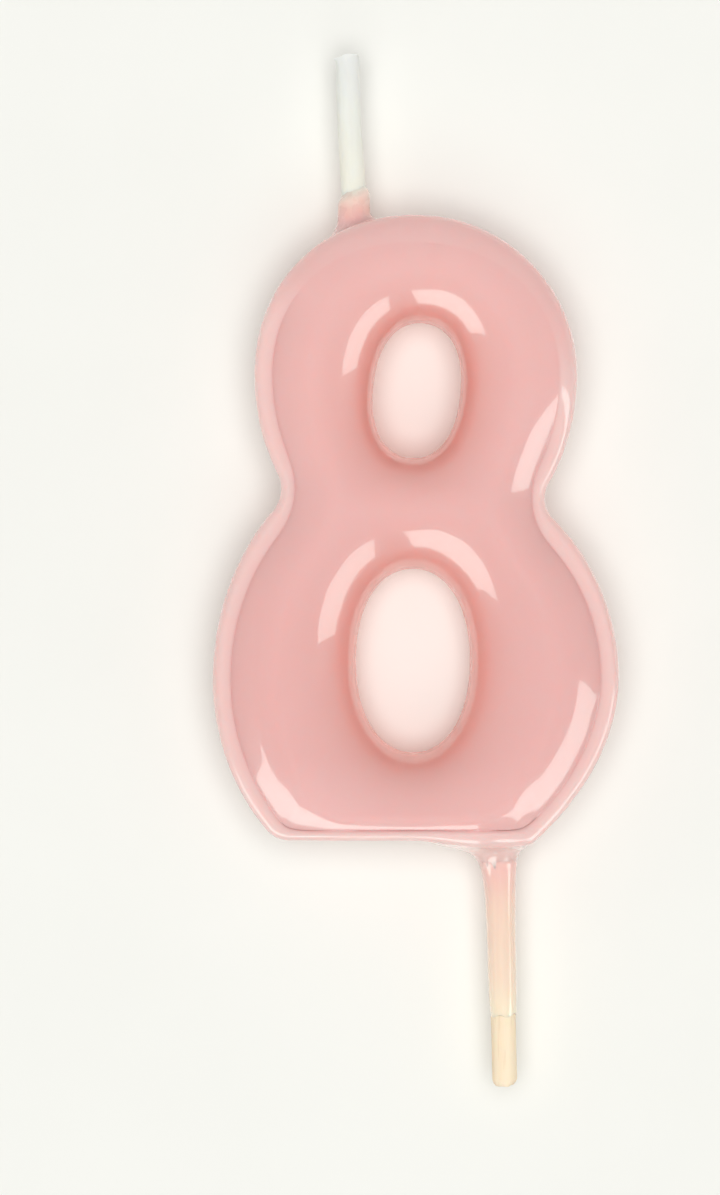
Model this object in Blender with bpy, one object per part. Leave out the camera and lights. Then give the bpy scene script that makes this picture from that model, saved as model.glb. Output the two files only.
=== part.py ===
"""Number birthday candle: a dipped wax numeral 8 with a plaited wick and a wooden pick.

The candle stands as it does in a cake. +Z is up and the glossy front faces -Y. The origin is
on the pick's axis, level with the underside of the numeral.
"""

import math

import bmesh
import bpy
import numpy as np
from mathutils import Vector

# Numeral outline, in metres. Heights are from its underside, x is from its centreline.
UPPER_CENTRE_HEIGHT = 0.0361
UPPER_HALF_WIDTH = 0.01256
UPPER_RISE = 0.0125
UPPER_SAG = 0.01485
LOWER_CENTRE_HEIGHT = 0.0125
LOWER_HALF_WIDTH = 0.0158
LOWER_RISE_LEFT = 0.0185
LOWER_RISE_RIGHT = 0.0170
LOWER_DROP_LEFT = 0.0172
LOWER_DROP_RIGHT = 0.0158
LEFT_WAIST_RADIUS = 0.0026
RIGHT_WAIST_RADIUS = 0.0022
FOOT_RADIUS = 0.0022
HEEL_RADIUS = 0.0009
PLAIN_OVAL = 2.0
CROWN_LEFT_OVAL = 2.1
FOOT_RIGHT_OVAL = 1.85

# The two holes: half sizes, height above or below the centre of their bowl, and shape.
UPPER_HOLE_HALF_WIDTH = 0.0035
UPPER_HOLE_HALF_HEIGHT = 0.00536
UPPER_HOLE_SHIFT = 0.0001
UPPER_HOLE_RISE = -0.0011
UPPER_HOLE_OVAL = 2.25
UPPER_HOLE_TURN = math.radians(6)
LOWER_HOLE_HALF_WIDTH = 0.00454
LOWER_HOLE_HALF_HEIGHT = 0.00725
LOWER_HOLE_SHIFT = -0.0002
LOWER_HOLE_RISE = 0.00145
LOWER_HOLE_OVAL = 2.15
LOWER_HOLE_TURN = 0.0

# Section of the numeral, from its flat back to the top of its domed front.
CREASE_DEPTH = 0.0073
DOME_RISE = 0.0017
SHOULDER = 0.0037
UPPER_HOLE_ROLL = 0.0058
UPPER_HOLE_ROLL_DROP = 0.0044
LOWER_HOLE_ROLL = 0.0070
LOWER_HOLE_ROLL_DROP = 0.0052
BACK_PLANE = 0.0042
LIP_SIDE = 0.0014
LIP_CROWN = 0.0022
LIP_FOOT = 0.0010
LIP_EDGE_RADIUS = 0.0006
BACK_EDGE_RADIUS = 0.0008
HOLE_BACK_RADIUS = 0.0004

# Dipped coat over the moulded core, and the gap that parts the two solids.
COAT = 0.0008
GAP = 0.0003

# Wick: three plaited yarns in a tube of priming wax, snipped at a slant.
WICK_FOOT_X = -0.0048
WICK_TIP_X = -0.0053
WICK_FREE_LENGTH = 0.0122
WICK_BESIDE_HOLE = 0.0032
WICK_END_HEIGHT = 0.006
PRIME_FOOT_RADIUS = 0.00095
PRIME_TIP_RADIUS = 0.00086
YARN_RADIUS = 0.00017
YARN_FIT = 0.00005
YARNS = 3
PLAIT_PITCH = 0.007
SNIP_SLANT = math.radians(22)
SNIP_BLOCK = 0.009
SNIP_WASTE = 0.0019

# Half width and depth of the plait, in yarn radii.
PLAIT_WIDTH_SHARE = 2.18
PLAIT_DEPTH_SHARE = 1.59

# Bead of wax drawn up round the wick's foot.
COLLAR_HEIGHT = 0.0034
COLLAR_SPREAD = 0.00105
COLLAR_WALL = 0.00033
COLLAR_FLARE = 0.0017
COLLAR_SWELL = 0.0026
COLLAR_ROOT = 0.002
COLLAR_LIP = 0.00012
COLLAR_FIT = 0.00005

# Wooden pick and the wax that runs down it.
PICK_RADIUS = 0.001
PICK_BESIDE_HOLE = 0.00216
PICK_EMBEDDED = 0.009
PICK_FREE_LENGTH = 0.0192
PICK_LEAN = math.radians(1.3)
PICK_END_BEVEL = 0.00025
FILM_FIT = 0.00008
FILM_WALL = 0.00017
FILM_END = 0.0139
FILM_TAPER = 0.0008
NECK_SPREAD = 0.0019
NECK_LENGTH = 0.0026
NECK_SPLIT = 0.0016

# Mesh fineness.
DENSE = 1500
CORNER_DENSE = 150
WAIST_REACH = 20
FOOT_REACH = 5
CORNER_WEIGHT = 0.002
LIP_TURN = 3
FINE_LOOP = 6
RIM_POINTS = 120
SHARP_ANGLE = math.radians(40)
ROUND_ANGLES = (90, 45, 0)
UPPER_COLUMNS = 32
LOWER_COLUMNS = 42
WEB_COLUMNS = 6
SKIN_STEPS = (0, 0.05, 0.13, 0.24, 0.38, 0.56, 0.76, 1)
INNER_STEPS = (0, 0.12, 0.34, 0.62, 1)
PIN_SIDES = 16
PRIME_SIDES = 12
YARN_SIDES = 6
NECK_STEPS = 7
COLLAR_STEPS = 5
WICK_STEPS = 81
WICK_SKIP = 5
TINY = 1e-7

pick_x = LOWER_HOLE_SHIFT + LOWER_HOLE_HALF_WIDTH + PICK_BESIDE_HOLE
body_height = UPPER_CENTRE_HEIGHT + UPPER_RISE
tip_height = body_height + WICK_FREE_LENGTH
film_radius = PICK_RADIUS + FILM_WALL
plait_half_width = PLAIT_WIDTH_SHARE * YARN_RADIUS
plait_half_depth = PLAIT_DEPTH_SHARE * YARN_RADIUS


def clear_scene():
    for old in list(bpy.data.objects):
        bpy.data.objects.remove(old, do_unlink=True)


def wax_or_wood(name, colour, roughness, subsurface=0.0):
    material = bpy.data.materials.new(name)
    material.use_nodes = True
    shader = material.node_tree.nodes["Principled BSDF"]
    shader.inputs["Base Color"].default_value = (*colour, 1)
    shader.inputs["Roughness"].default_value = roughness
    shader.inputs["Metallic"].default_value = 0
    shader.inputs["Subsurface Weight"].default_value = subsurface
    shader.inputs["Subsurface Scale"].default_value = COAT
    return material


def add_object(name, mesh, parent, material=None):
    thing = bpy.data.objects.new(name, mesh)
    bpy.context.scene.collection.objects.link(thing)
    thing.parent = parent
    if material:
        mesh.materials.append(material)
        mesh.shade_smooth()
        mesh.set_sharp_from_angle(angle=SHARP_ANGLE)
    else:
        thing.hide_render = True
        thing.display_type = "WIRE"
    return thing


def cut(thing, cutter, operation="DIFFERENCE"):
    boolean = thing.modifiers.new(cutter.name, "BOOLEAN")
    boolean.object = cutter
    boolean.operation = operation
    boolean.solver = "EXACT"


# ---- flat curves, as arrays of x and z ----


def oval_arc(centre_height, half_width, half_height, fullness, start, end):
    """Part of an oval, counter-clockwise from the front, from one angle to another in degrees."""
    angle = np.radians(np.linspace(start, end, DENSE))
    across = np.sign(np.cos(angle)) * np.abs(np.cos(angle)) ** (2 / fullness)
    up = np.sign(np.sin(angle)) * np.abs(np.sin(angle)) ** (2 / fullness)
    return np.column_stack([half_width * across, centre_height + half_height * up])


def left_of_travel(curve):
    along = np.gradient(curve, axis=0)
    along /= np.linalg.norm(along, axis=1, keepdims=True)
    return np.column_stack([-along[:, 1], along[:, 0]])


def round_corner(before, after, radius, side):
    """Joins two crossing curves with an arc, centred to the left (side 1) or right (-1)."""
    first = before + side * radius * left_of_travel(before)
    second = after + side * radius * left_of_travel(after)
    apart = np.linalg.norm(first[:, None] - second[None], axis=2)
    leave, join = np.unravel_index(apart.argmin(), apart.shape)
    centre = (first[leave] + second[join]) / 2
    start = math.atan2(*(before[leave] - centre)[::-1])
    end = math.atan2(*(after[join] - centre)[::-1])
    turn = (end - start) * side % math.tau * side
    angle = start + turn * np.linspace(0, 1, CORNER_DENSE)
    arc = centre + radius * np.column_stack([np.cos(angle), np.sin(angle)])
    return np.vstack([before[:leave], arc, after[join + 1 :]])


def straight(start, end):
    share = np.linspace(0, 1, DENSE)[:, None]
    return np.array(start) * (1 - share) + np.array(end) * share


def split_at_waist(curve):
    """Cuts a flank that runs through the waist where it is nearest the centreline."""
    between = (curve[:, 1] > LOWER_CENTRE_HEIGHT) & (curve[:, 1] < UPPER_CENTRE_HEIGHT)
    inner = np.where(between, np.abs(curve[:, 0]), np.inf).argmin()
    return curve[: inner + 1], curve[inner:]


def outline_halves():
    """The numeral's edge as two curves: over the upper bowl, then round the lower one."""
    upper, lower = UPPER_CENTRE_HEIGHT, LOWER_CENTRE_HEIGHT
    crown_right = oval_arc(upper, UPPER_HALF_WIDTH, UPPER_RISE, PLAIN_OVAL, 0, 90)
    crown_left = oval_arc(upper, UPPER_HALF_WIDTH, UPPER_RISE, CROWN_LEFT_OVAL, 90, 180)
    sag_left = oval_arc(upper, UPPER_HALF_WIDTH, UPPER_SAG, PLAIN_OVAL, 180, 270 - WAIST_REACH)
    sag_right = oval_arc(upper, UPPER_HALF_WIDTH, UPPER_SAG, PLAIN_OVAL, 270 + WAIST_REACH, 360)
    flank_left = oval_arc(lower, LOWER_HALF_WIDTH, LOWER_RISE_LEFT, PLAIN_OVAL, 90 + WAIST_REACH, 180)
    flank_right = oval_arc(lower, LOWER_HALF_WIDTH, LOWER_RISE_RIGHT, PLAIN_OVAL, 0, 90 - WAIST_REACH)
    foot_left = oval_arc(lower, LOWER_HALF_WIDTH, LOWER_DROP_LEFT, PLAIN_OVAL, 180, 270 - FOOT_REACH)
    foot_right = oval_arc(
        lower, LOWER_HALF_WIDTH, LOWER_DROP_RIGHT, FOOT_RIGHT_OVAL, 270 + FOOT_REACH, 360
    )
    underside = straight((-LOWER_HALF_WIDTH, 0), (LOWER_HALF_WIDTH, 0))
    left = round_corner(sag_left, flank_left, LEFT_WAIST_RADIUS, -1)
    right = round_corner(flank_right, sag_right, RIGHT_WAIST_RADIUS, -1)
    foot = round_corner(foot_left, underside[: DENSE // 2], FOOT_RADIUS, 1)
    heel = round_corner(underside[DENSE // 2 :], foot_right, HEEL_RADIUS, 1)
    left_above, left_below = split_at_waist(left)
    right_below, right_above = split_at_waist(right)
    over = np.vstack([right_above, crown_right[1:], crown_left[1:], left_above[1:]])
    round_foot = np.vstack([left_below, foot[1:], heel[1:], right_below[1:]])
    return over, round_foot


def even_places(curve, count):
    """Fractional places along a curve, closer together where it turns."""
    step = np.diff(curve, axis=0)
    heading = np.unwrap(np.arctan2(step[:, 1], step[:, 0]))
    turn = np.abs(np.diff(heading, prepend=heading[0]))
    weight = np.linalg.norm(step, axis=1) + CORNER_WEIGHT * turn
    total = np.concatenate([[0], np.cumsum(weight)])
    return np.interp(np.linspace(0, total[-1], count + 1), total, np.arange(len(curve)))


def pick_out(values, places):
    index = np.arange(len(values))
    return np.column_stack([np.interp(places, index, column) for column in values.T])


def spread(loop, inset):
    """The loop moved inwards by a distance that may differ from point to point."""
    return loop["points"] + loop["inward"] * np.reshape(inset, (-1, 1))


def make_loop(upper_columns, lower_columns):
    """The closed outline with its inward directions and the width of its lip."""
    points, inward = [], []
    for curve, count in zip(outline_halves(), (upper_columns, lower_columns)):
        places = even_places(curve, count)[:-1]
        points.append(pick_out(curve, places))
        inward.append(pick_out(left_of_travel(curve), places))
    points, inward = np.vstack(points), np.vstack(inward)
    for waist in (0, upper_columns):
        inward[waist] = (-np.sign(points[waist, 0]), 0)
    inward /= np.linalg.norm(inward, axis=1, keepdims=True)
    facing_up = np.clip(-inward[:, 1], 0, 1) ** LIP_TURN
    facing_down = np.clip(inward[:, 1], 0, 1) ** LIP_TURN
    lip = LIP_SIDE + (LIP_CROWN - LIP_SIDE) * facing_up + (LIP_FOOT - LIP_SIDE) * facing_down
    return {"points": points, "inward": inward, "lip": lip, "waist": upper_columns}


HOLES = (
    (
        (UPPER_HOLE_SHIFT, UPPER_CENTRE_HEIGHT + UPPER_HOLE_RISE),
        (UPPER_HOLE_HALF_WIDTH, UPPER_HOLE_HALF_HEIGHT),
        UPPER_HOLE_OVAL,
        UPPER_HOLE_TURN,
        (UPPER_HOLE_ROLL, UPPER_HOLE_ROLL_DROP),
    ),
    (
        (LOWER_HOLE_SHIFT, LOWER_CENTRE_HEIGHT + LOWER_HOLE_RISE),
        (LOWER_HOLE_HALF_WIDTH, LOWER_HOLE_HALF_HEIGHT),
        LOWER_HOLE_OVAL,
        LOWER_HOLE_TURN,
        (LOWER_HOLE_ROLL, LOWER_HOLE_ROLL_DROP),
    ),
)


def hole_edge(hole, toward, grow):
    """Where the rays from the hole's centre to some points leave the hole, grown by a margin."""
    centre, half, oval, turn, _ = hole
    ray = np.asarray(toward) - centre
    ray /= np.linalg.norm(ray, axis=1, keepdims=True)
    across = ray[:, 0] * math.cos(turn) - ray[:, 1] * math.sin(turn)
    up = ray[:, 0] * math.sin(turn) + ray[:, 1] * math.cos(turn)
    grown = np.array(half) + grow
    reach = (np.abs(across / grown[0]) ** oval + np.abs(up / grown[1]) ** oval) ** (-1 / oval)
    return np.array(centre) + ray * reach[:, None]


def distance_to(points, closed_curve):
    """Shortest distance from each point to a closed chain of straight pieces."""
    start, end = closed_curve, np.roll(closed_curve, -1, axis=0)
    along = end - start
    offset = points[:, None] - start[None]
    share = np.clip((offset * along).sum(2) / (along**2).sum(1), 0, 1)
    return np.linalg.norm(offset - share[..., None] * along, axis=2).min(axis=1)


def front_depth(points):
    """Thickness from the flat back to the domed front over each point inside the crease."""
    fine = make_loop(FINE_LOOP * UPPER_COLUMNS, FINE_LOOP * LOWER_COLUMNS)
    from_crease = distance_to(points, spread(fine, fine["lip"]))
    circle = np.arange(RIM_POINTS) * math.tau / RIM_POINTS
    around = np.column_stack([np.cos(circle), np.sin(circle)])
    shoulder = 1 - (1 - np.clip(from_crease / SHOULDER, 0, 1)) ** 2
    depth = CREASE_DEPTH + DOME_RISE * shoulder
    for hole in HOLES:
        roll, drop = hole[-1]
        from_hole = distance_to(points, hole_edge(hole, around + hole[0], 0))
        depth -= drop * (1 - np.sqrt(1 - (1 - np.clip(from_hole / roll, 0, 1)) ** 2))
    return depth


# ---- solids ----


class Patchwork:
    """Collects strips of faces and welds them into one closed mesh."""

    def __init__(self):
        self.bm = bmesh.new()

    def row(self, flat, depth):
        """A row of vertices over x and z at a depth in front of the flat back."""
        depth = np.broadcast_to(depth, len(flat))
        spots = zip(flat[:, 0], BACK_PLANE - depth, flat[:, 1])
        return [self.bm.verts.new(spot) for spot in spots]

    def strip(self, row, other):
        """Faces between two closed rows, looking outwards when other lies to the right."""
        for i in range(len(row)):
            j = (i + 1) % len(row)
            self.bm.faces.new((row[i], other[i], other[j], row[j]))

    def finish(self, name):
        bmesh.ops.remove_doubles(self.bm, verts=self.bm.verts, dist=TINY)
        bmesh.ops.recalc_face_normals(self.bm, faces=self.bm.faces)
        mesh = bpy.data.meshes.new(name)
        self.bm.to_mesh(mesh)
        self.bm.free()
        return mesh


def cell_borders(loop, edge):
    """The border of each bowl: its part of the edge, then back along the web between bowls."""
    waist = loop["waist"]
    right, left = edge[0], edge[waist]
    share = np.linspace(0, 1, WEB_COLUMNS + 2)[1:-1, None]
    web = left * (1 - share) + right * share
    upper = np.vstack([edge[: waist + 1], web])
    lower = np.vstack([edge[waist:], edge[:1], web[::-1]])
    return upper, lower


def numeral(name, depth, lipped):
    """The numeral's solid. Depth is how far its faces lie inside the dipped skin."""
    loop = make_loop(UPPER_COLUMNS, LOWER_COLUMNS)
    work = Patchwork()
    if lipped:
        rim_inset = loop["lip"] + depth
        back_inset = BACK_EDGE_RADIUS + depth
        hole_round = HOLE_BACK_RADIUS
        steps = SKIN_STEPS
    else:
        rim_inset = loop["lip"] + depth - COAT
        back_inset = rim_inset
        hole_round = 0
        steps = INNER_STEPS
    rim = spread(loop, rim_inset)
    back_rim = spread(loop, back_inset)
    borders = zip(HOLES, cell_borders(loop, rim), cell_borders(loop, back_rim))
    for hole, border, back_border in borders:
        edge = hole_edge(hole, border, depth)
        rows = []
        for step in steps:
            flat = edge * (1 - step) + border * step
            rows.append(work.row(flat, front_depth(flat) - depth))
        foot = work.row(edge, depth + hole_round)
        back = work.row(back_border, depth)
        for inner, outer in zip(rows, rows[1:]):
            work.strip(inner, outer)
        work.strip(foot, rows[0])
        if lipped:
            flare = work.row(hole_edge(hole, back_border, depth + hole_round), depth)
            work.strip(flare, foot)
            work.strip(back, flare)
        else:
            work.strip(back, foot)
    front_row = work.row(rim, front_depth(rim) - depth)
    back_row = work.row(back_rim, depth)
    if lipped:
        lip_middle = spread(loop, (rim_inset + depth + LIP_EDGE_RADIUS) / 2)
        rows = [front_row, work.row(lip_middle, CREASE_DEPTH - depth)]
        for angle in np.radians(ROUND_ANGLES):
            inset = LIP_EDGE_RADIUS * (1 - math.cos(angle)) + depth
            drop = LIP_EDGE_RADIUS * (1 - math.sin(angle)) + depth
            rows.append(work.row(spread(loop, inset), CREASE_DEPTH - drop))
        for angle in np.radians(ROUND_ANGLES[:0:-1]):
            inset = BACK_EDGE_RADIUS * (1 - math.cos(angle)) + depth
            drop = BACK_EDGE_RADIUS * (1 - math.sin(angle)) + depth
            rows.append(work.row(spread(loop, inset), drop))
        rows.append(back_row)
        for inner, outer in zip(rows, rows[1:]):
            work.strip(inner, outer)
    else:
        work.strip(front_row, back_row)
    return work.finish(name)


def sweep(name, centres, radii, sides, bore=None):
    """A round bar along a route in 3-D, or a tube when it has a bore."""
    centres = np.asarray(centres)
    along = np.gradient(centres, axis=0)
    along /= np.linalg.norm(along, axis=1, keepdims=True)
    across = np.cross(along, (0, 1, 0))
    across /= np.linalg.norm(across, axis=1, keepdims=True)
    fore = np.cross(across, along)
    angle = np.arange(sides) * math.tau / sides
    bm = bmesh.new()

    def ring(i, radius):
        spots = (
            centres[i] + radius * (math.cos(a) * across[i] + math.sin(a) * fore[i])
            for a in angle
        )
        return [bm.verts.new(spot) for spot in spots]

    rings = [ring(i, radius) for i, radius in enumerate(radii)]
    if bore:
        rings += [ring(i, bore) for i in reversed(range(len(radii)))]
        rings.append(rings[0])
    for low, high in zip(rings, rings[1:]):
        for i in range(sides):
            j = (i + 1) % sides
            bm.faces.new((low[i], low[j], high[j], high[i]))
    if not bore:
        bm.faces.new(rings[0])
        bm.faces.new(rings[-1])
    bmesh.ops.recalc_face_normals(bm, faces=bm.faces)
    mesh = bpy.data.meshes.new(name)
    bm.to_mesh(mesh)
    bm.free()
    return mesh


def turned(name, profile, bore=None):
    """A piece turned about Z from (radius, height) pairs, solid or with a straight bore."""
    heights = [height for _, height in profile]
    centres = [(0, 0, height) for height in heights]
    radii = [radius for radius, _ in profile]
    return sweep(name, centres, radii, PIN_SIDES, bore)


def concave_flare(foot_radius, end_radius, length, steps):
    """(radius, distance) pairs of a fillet that spreads from a rod onto a flat face."""
    pairs = []
    for angle in np.radians(np.linspace(0, 90, steps)):
        spread_out = (foot_radius - end_radius) * (1 - math.sin(angle))
        pairs.append((end_radius + spread_out, length * (1 - math.cos(angle))))
    return pairs


def smooth_through(places, values, at):
    """A smooth curve through a few values, with each slope taken from its neighbours."""
    slopes = np.gradient(values, places)
    piece = np.clip(np.searchsorted(places, at) - 1, 0, len(places) - 2)
    span = places[piece + 1] - places[piece]
    t = (at - places[piece]) / span
    start = values[piece] * (1 + 2 * t) * (1 - t) ** 2 + slopes[piece] * span * t * (1 - t) ** 2
    end = values[piece + 1] * t**2 * (3 - 2 * t) + slopes[piece + 1] * span * t**2 * (t - 1)
    return start + end


def wick_route(start_past, end_past):
    """The wick's centre line from inside the lower bowl to its tip, as a smooth curve."""
    lower_x = LOWER_HOLE_SHIFT - LOWER_HOLE_HALF_WIDTH - WICK_BESIDE_HOLE
    upper_x = UPPER_HOLE_SHIFT - UPPER_HOLE_HALF_WIDTH - WICK_BESIDE_HOLE
    places = (WICK_END_HEIGHT, LOWER_CENTRE_HEIGHT, UPPER_CENTRE_HEIGHT, body_height, tip_height)
    across = (lower_x, lower_x, upper_x, WICK_FOOT_X, WICK_TIP_X)
    height = np.linspace(WICK_END_HEIGHT - start_past, tip_height + end_past, WICK_STEPS)
    side = smooth_through(np.array(places), np.array(across), height)
    return np.column_stack([side, np.zeros(WICK_STEPS), height])


def yarn_path(number, route):
    """One yarn of a flat three-strand plait about the wick's centre line."""
    swing = math.tau * (route[:, 2] / PLAIT_PITCH + number / YARNS)
    side = np.sin(swing) * plait_half_width
    fore = np.sin(2 * swing) * plait_half_depth
    return route + np.column_stack([side, fore, np.zeros(len(route))])


clear_scene()
pick_axis = bpy.data.objects.new("pick_axis", None)
numeral_axis = bpy.data.objects.new("numeral_axis", None)
for empty in (pick_axis, numeral_axis):
    bpy.context.scene.collection.objects.link(empty)
pick_axis.rotation_euler.y = -PICK_LEAN
numeral_axis.location.x = -pick_x

pink_skin = wax_or_wood("pink_dip_wax", (0.80, 0.42, 0.40), 0.16, 0.6)
pale_pink = wax_or_wood("core_wax", (0.84, 0.55, 0.52), 0.45, 0.6)
collar_wax = wax_or_wood("collar_wax", (0.82, 0.52, 0.47), 0.25, 0.5)
prime_wax = wax_or_wood("priming_wax", (0.80, 0.80, 0.74), 0.4, 0.5)
cotton = wax_or_wood("cotton", (0.86, 0.85, 0.78), 0.9)
film_wax = wax_or_wood("film_wax", (0.88, 0.66, 0.52), 0.2, 0.4)
birch = wax_or_wood("birch", (0.84, 0.70, 0.50), 0.6)

# Cutters: the coat's hollow, the wick's channel, the pick's socket, the snip at the wick's tip.
hollow = add_object("coat_hollow", numeral("coat_hollow", COAT, False), numeral_axis)
channel_route = wick_route(GAP, SNIP_WASTE)[::WICK_SKIP]
channel_radii = [PRIME_FOOT_RADIUS + GAP] * len(channel_route)
channel_mesh = sweep("wick_channel", channel_route, channel_radii, PIN_SIDES)
wick_channel = add_object("wick_channel", channel_mesh, numeral_axis)
socket_radius = PICK_RADIUS + FILM_FIT
socket_ends = [(socket_radius, -PICK_FREE_LENGTH), (socket_radius, PICK_EMBEDDED + GAP)]
pick_socket = add_object("pick_socket", turned("pick_socket", socket_ends), pick_axis)
bpy.ops.mesh.primitive_cube_add(size=1)
snip = bpy.context.object
snip.name = "wick_snip"
snip.parent = numeral_axis
snip.scale = (SNIP_BLOCK, SNIP_BLOCK, SNIP_BLOCK)
snip.rotation_euler.y = -SNIP_SLANT
lift = Vector((-math.sin(SNIP_SLANT), 0, math.cos(SNIP_SLANT))) * SNIP_BLOCK / 2
snip.location = Vector((WICK_TIP_X, 0, tip_height)) + lift
snip.hide_render = True
snip.display_type = "WIRE"

# Moulded core with the wick's channel and the pick's blind socket.
wax_core = add_object("wax_core", numeral("wax_core", COAT + GAP, False), numeral_axis, pale_pink)
cut(wax_core, wick_channel)
cut(wax_core, pick_socket)

# Dipped coat with the neck that the wax draws down round the pick.
overdip_coat = add_object("overdip_coat", numeral("overdip_coat", 0, True), numeral_axis, pink_skin)
flare = concave_flare(PICK_RADIUS + NECK_SPREAD, film_radius, NECK_LENGTH, NECK_STEPS)
neck_profile = [(radius, -down) for radius, down in flare if down < NECK_SPLIT]
neck_profile.insert(0, (PICK_RADIUS + COAT, COAT))
neck = add_object("coat_neck", turned("coat_neck", neck_profile[::-1]), pick_axis)
cut(overdip_coat, neck, "UNION")
cut(overdip_coat, hollow)
cut(overdip_coat, wick_channel)
cut(overdip_coat, pick_socket)

# Film of wax on the pick below the neck.
film_top = neck_profile[-1][1] - GAP
film_profile = [(radius, -down) for radius, down in flare if -down < film_top]
film_profile += [(film_radius, FILM_TAPER - FILM_END), (film_radius - FILM_FIT / 2, -FILM_END)]
film_mesh = turned("pick_wax_film", film_profile[::-1], socket_radius)
pick_wax_film = add_object("pick_wax_film", film_mesh, pick_axis, film_wax)

# Round wooden pick with worn ends.
pick_profile = [
    (PICK_RADIUS - PICK_END_BEVEL, -PICK_FREE_LENGTH),
    (PICK_RADIUS, -PICK_FREE_LENGTH + PICK_END_BEVEL),
    (PICK_RADIUS, PICK_EMBEDDED - PICK_END_BEVEL),
    (PICK_RADIUS - PICK_END_BEVEL, PICK_EMBEDDED),
]
pick = add_object("wooden_pick", turned("wooden_pick", pick_profile), pick_axis, birch)

# Wick: yarns and priming wax run past the tip, and one slanted snip ends them together.
tip_run = wick_route(0, SNIP_WASTE)
prime_route = tip_run[::WICK_SKIP]
taper = np.clip((prime_route[:, 2] - body_height) / WICK_FREE_LENGTH, 0, 1)
prime_radii = PRIME_FOOT_RADIUS + (PRIME_TIP_RADIUS - PRIME_FOOT_RADIUS) * taper
yarn_offsets = [yarn_path(number, tip_run) - tip_run for number in range(YARNS)]
plait_reach = np.linalg.norm(yarn_offsets, axis=2).max()
prime_bore = plait_reach + YARN_RADIUS + YARN_FIT
prime_mesh = sweep("wick_prime_wax", prime_route, prime_radii, PRIME_SIDES, prime_bore)
wick_prime_wax = add_object("wick_prime_wax", prime_mesh, numeral_axis, prime_wax)
cut(wick_prime_wax, snip)
for number in range(YARNS):
    name = f"wick_yarn_{number + 1}"
    mesh = sweep(name, yarn_path(number, tip_run), [YARN_RADIUS] * len(tip_run), YARN_SIDES)
    cut(add_object(name, mesh, numeral_axis, cotton), snip)

# Collar: a turned bead round the wick, its foot sloped and cut to sit on the coat.
shoulder = UPPER_RISE * math.sqrt(1 - (WICK_FOOT_X / UPPER_HALF_WIDTH) ** 2)
shoulder_height = UPPER_CENTRE_HEIGHT + shoulder
shoulder_slope = -WICK_FOOT_X / shoulder * (UPPER_RISE / UPPER_HALF_WIDTH) ** 2
collar_foot = PRIME_FOOT_RADIUS + COLLAR_SPREAD
collar_radius = PRIME_FOOT_RADIUS + COLLAR_WALL
collar_profile = [(collar_foot, -COLLAR_ROOT)]
collar_profile += concave_flare(collar_foot, collar_radius, COLLAR_FLARE, COLLAR_STEPS)
collar_profile.append((collar_radius + COLLAR_LIP, COLLAR_SWELL))
collar_profile.append((PRIME_FOOT_RADIUS + COLLAR_LIP, COLLAR_HEIGHT))
collar_mesh = turned("wick_collar", collar_profile)
for vertex in collar_mesh.vertices:
    near_foot = min(1, 1 - vertex.co.z / COLLAR_HEIGHT)
    vertex.co.z += shoulder_slope * vertex.co.x * near_foot
wick_collar = add_object("wick_collar", collar_mesh, numeral_axis, collar_wax)
wick_collar.location.x = np.interp(shoulder_height, tip_run[:, 2], tip_run[:, 0])
wick_collar.location.z = shoulder_height
coat_rest = add_object("coat_rest", numeral("coat_rest", -GAP, True), numeral_axis)
room_radii = [PRIME_FOOT_RADIUS + COLLAR_FIT] * len(prime_route)
room_mesh = sweep("wick_room", prime_route, room_radii, PRIME_SIDES)
wick_room = add_object("wick_room", room_mesh, numeral_axis)
cut(wick_collar, coat_rest)
cut(wick_collar, wick_room)
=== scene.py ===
import math

import bmesh
import bpy
import numpy as np
from mathutils import Matrix, Vector, noise


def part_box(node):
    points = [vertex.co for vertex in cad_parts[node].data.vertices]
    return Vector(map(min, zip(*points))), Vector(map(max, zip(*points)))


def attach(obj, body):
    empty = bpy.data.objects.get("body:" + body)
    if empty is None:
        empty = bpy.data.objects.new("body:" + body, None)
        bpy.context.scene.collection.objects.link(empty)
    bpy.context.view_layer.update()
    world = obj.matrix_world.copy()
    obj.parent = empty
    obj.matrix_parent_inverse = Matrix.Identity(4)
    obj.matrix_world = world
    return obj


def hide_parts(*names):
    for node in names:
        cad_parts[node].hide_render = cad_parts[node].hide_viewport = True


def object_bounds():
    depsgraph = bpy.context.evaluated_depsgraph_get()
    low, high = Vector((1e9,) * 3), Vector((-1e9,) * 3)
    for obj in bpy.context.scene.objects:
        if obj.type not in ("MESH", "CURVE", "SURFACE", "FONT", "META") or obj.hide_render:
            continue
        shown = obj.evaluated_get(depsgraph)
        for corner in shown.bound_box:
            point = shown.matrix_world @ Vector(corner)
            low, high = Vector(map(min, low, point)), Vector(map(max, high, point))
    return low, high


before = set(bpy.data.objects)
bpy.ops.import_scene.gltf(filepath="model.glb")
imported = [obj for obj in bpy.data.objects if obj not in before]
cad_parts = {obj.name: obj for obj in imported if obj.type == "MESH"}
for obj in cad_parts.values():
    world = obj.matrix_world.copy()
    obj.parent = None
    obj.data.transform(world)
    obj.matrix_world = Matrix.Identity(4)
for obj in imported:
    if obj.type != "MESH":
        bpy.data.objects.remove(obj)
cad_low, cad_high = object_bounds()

# ---- The three cotton yarns of the wick -------------------------------------------------
# Bleached cotton, plaited flat out of three yarns of seven plies each. The plait is cast into
# the numeral, and scissors snip it above the crown, where a few fibres stay loose.
coat_low, coat_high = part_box("overdip_coat")
wick_low, wick_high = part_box("wick_prime_wax")
centre_x = (coat_low.x + coat_high.x) / 2
crown_z = coat_high.z
tip_z = wick_high.z

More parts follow.
